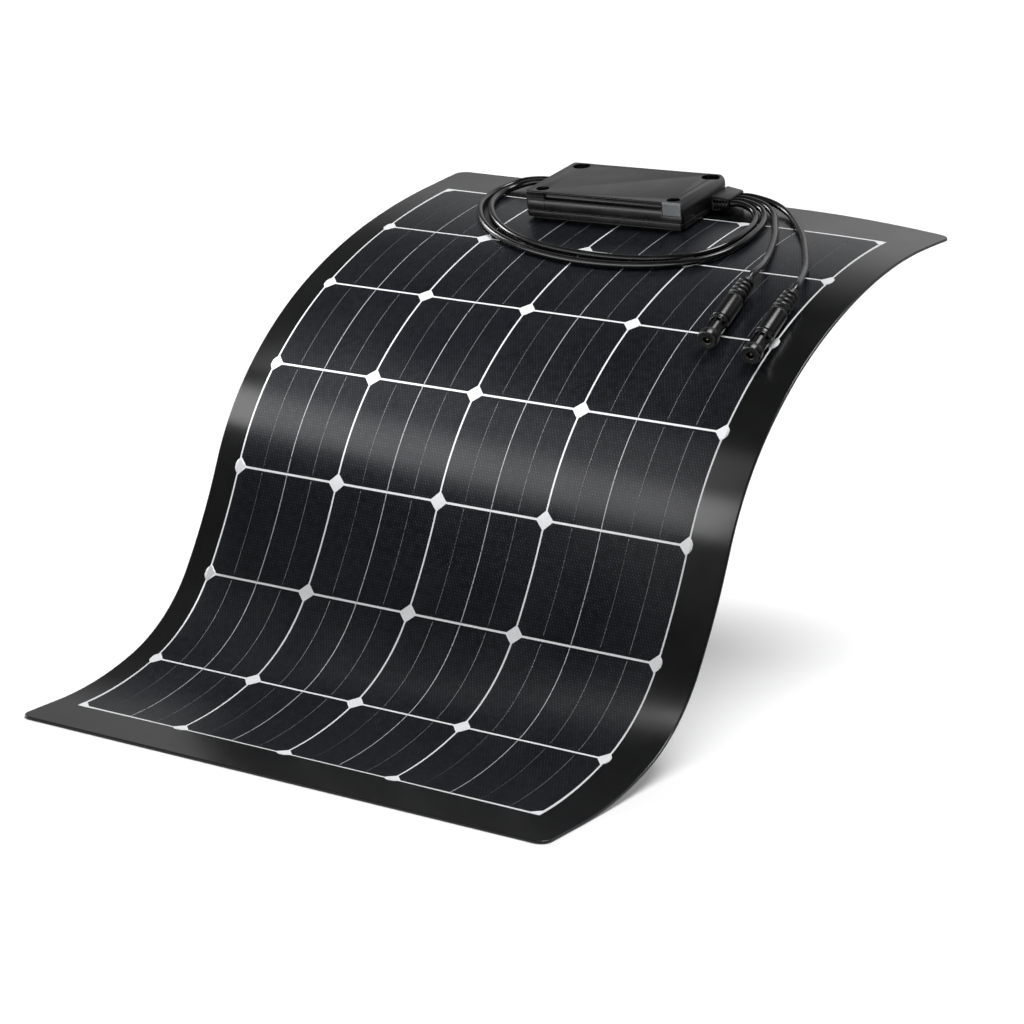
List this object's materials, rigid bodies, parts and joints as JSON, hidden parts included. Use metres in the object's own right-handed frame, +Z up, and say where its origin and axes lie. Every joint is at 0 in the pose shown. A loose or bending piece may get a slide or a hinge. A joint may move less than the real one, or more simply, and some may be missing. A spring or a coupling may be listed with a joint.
{
  "type": "flexible solar sheet",
  "caption": "Thin black laminated solar sheet bent in a gentle S, with rows of dark cells on white lines, a flat junction box near one end and leads with round connectors.",
  "frame": {"origin": "middle of the flat underside of the front border, the strip that lies on the surface", "axes": "+X to the right across the sheet, +Y from the front edge towards the junction box end, +Z up, off the surface that the front border lies on"},
  "size_m": [0.614, 0.7564, 0.4634],
  "materials": {
    "back_sheet": "satin black",
    "white_reflector": "matt white film",
    "solar_cell": "dark blue-black silicon",
    "front_film": "clear embossed film over black",
    "moulded_plastic": "satin moulded black",
    "rubber": "matt black rubber",
    "cable_jacket": "satin black jacket",
    "catch_plastic": "satin grey",
    "dark_steel": "blackened steel",
    "brass": "plain",
    "tinned_copper": "tinned copper ribbon"
  },
  "bodies": {
    "front_rows": {"back_sheet_1": "back_sheet", "white_layer_1": "white_reflector", "cell_string_1": "solar_cell", "front_film_1": "front_film"},
    "row_2": {"back_sheet_2": "back_sheet", "white_layer_2": "white_reflector", "cell_string_2": "solar_cell", "front_film_2": "front_film"},
    "row_3": {"back_sheet_3": "back_sheet", "white_layer_3": "white_reflector", "cell_string_3": "solar_cell", "front_film_3": "front_film"},
    "row_4": {"back_sheet_4": "back_sheet", "white_layer_4": "white_reflector", "cell_string_4": "solar_cell", "front_film_4": "front_film"},
    "row_5": {"back_sheet_5": "back_sheet", "white_layer_5": "white_reflector", "cell_string_5": "solar_cell", "front_film_5": "front_film"},
    "head": {"back_sheet_6": "back_sheet", "white_layer_6": "white_reflector", "cell_string_6": "solar_cell", "cell_string_7": "solar_cell", "front_film_6": "front_film", "adhesive_pad": "rubber", "box_base": "moulded_plastic", "lid_gasket": "rubber", "box_lid": "moulded_plastic", "lid_catch": "catch_plastic", "lid_screw_1": "dark_steel", "lid_screw_2": "dark_steel", "lid_screw_3": "dark_steel", "lid_screw_4": "dark_steel", "terminal_rail": "moulded_plastic", "terminal_1": "brass", "terminal_2": "brass", "bus_ribbon_1": "tinned_copper", "bus_ribbon_2": "tinned_copper", "bypass_diode_1": "moulded_plastic", "bypass_diode_2": "moulded_plastic", "bypass_diode_3": "moulded_plastic", "cable_gland": "moulded_plastic", "gland_cap": "moulded_plastic", "strain_relief": "rubber", "jumper_lead_outer": "cable_jacket", "jumper_lead_inner": "cable_jacket", "output_lead_left": "cable_jacket", "output_lead_right": "cable_jacket", "connector_boot_left": "rubber", "connector_housing_left": "moulded_plastic", "connector_insert_left": "moulded_plastic", "contact_pin_left": "brass", "connector_boot_right": "rubber", "connector_housing_right": "moulded_plastic", "connector_insert_right": "moulded_plastic", "contact_pin_right": "brass"},
    "coupling_nut_left": {"coupling_nut_left": "moulded_plastic"},
    "coupling_nut_right": {"coupling_nut_right": "moulded_plastic"}
  },
  "joints": [
    {"name": "flex_line_1", "type": "hinge", "parent": "front_rows", "child": "row_2", "pos_m": [0, 0.14164, 0.0195], "axis": [-1, 0, 0], "range_deg": [-8, 20], "stiffness_Nm_per_rad": 150, "springref_deg": -1.77},
    {"name": "flex_line_2", "type": "hinge", "parent": "row_2", "child": "row_3", "pos_m": [0, 0.23111, 0.08815], "axis": [-1, 0, 0], "range_deg": [-8, 20], "stiffness_Nm_per_rad": 150, "springref_deg": -1.28},
    {"name": "flex_line_3", "type": "hinge", "parent": "row_3", "child": "row_4", "pos_m": [0, 0.28445, 0.19063], "axis": [1, 0, 0], "range_deg": [-8, 6], "stiffness_Nm_per_rad": 150, "springref_deg": 1.03},
    {"name": "flex_line_4", "type": "hinge", "parent": "row_4", "child": "row_5", "pos_m": [0, 0.34838, 0.28721], "axis": [1, 0, 0], "range_deg": [-8, 16], "stiffness_Nm_per_rad": 150, "springref_deg": 0.78},
    {"name": "flex_line_5", "type": "hinge", "parent": "row_5", "child": "head", "pos_m": [0, 0.44164, 0.35622], "axis": [1, 0, 0], "range_deg": [-10, 0], "stiffness_Nm_per_rad": 150, "springref_deg": 0.46},
    {"name": "coupling_left_spin", "type": "hinge", "parent": "head", "child": "coupling_nut_left", "pos_m": [0.20053, 0.43332, 0.36678], "axis": [0.0872, -0.9088, -0.4079], "continuous": true},
    {"name": "coupling_right_spin", "type": "hinge", "parent": "head", "child": "coupling_nut_right", "pos_m": [0.25583, 0.42248, 0.36081], "axis": [0.0698, -0.901, -0.4281], "continuous": true}
  ]
}
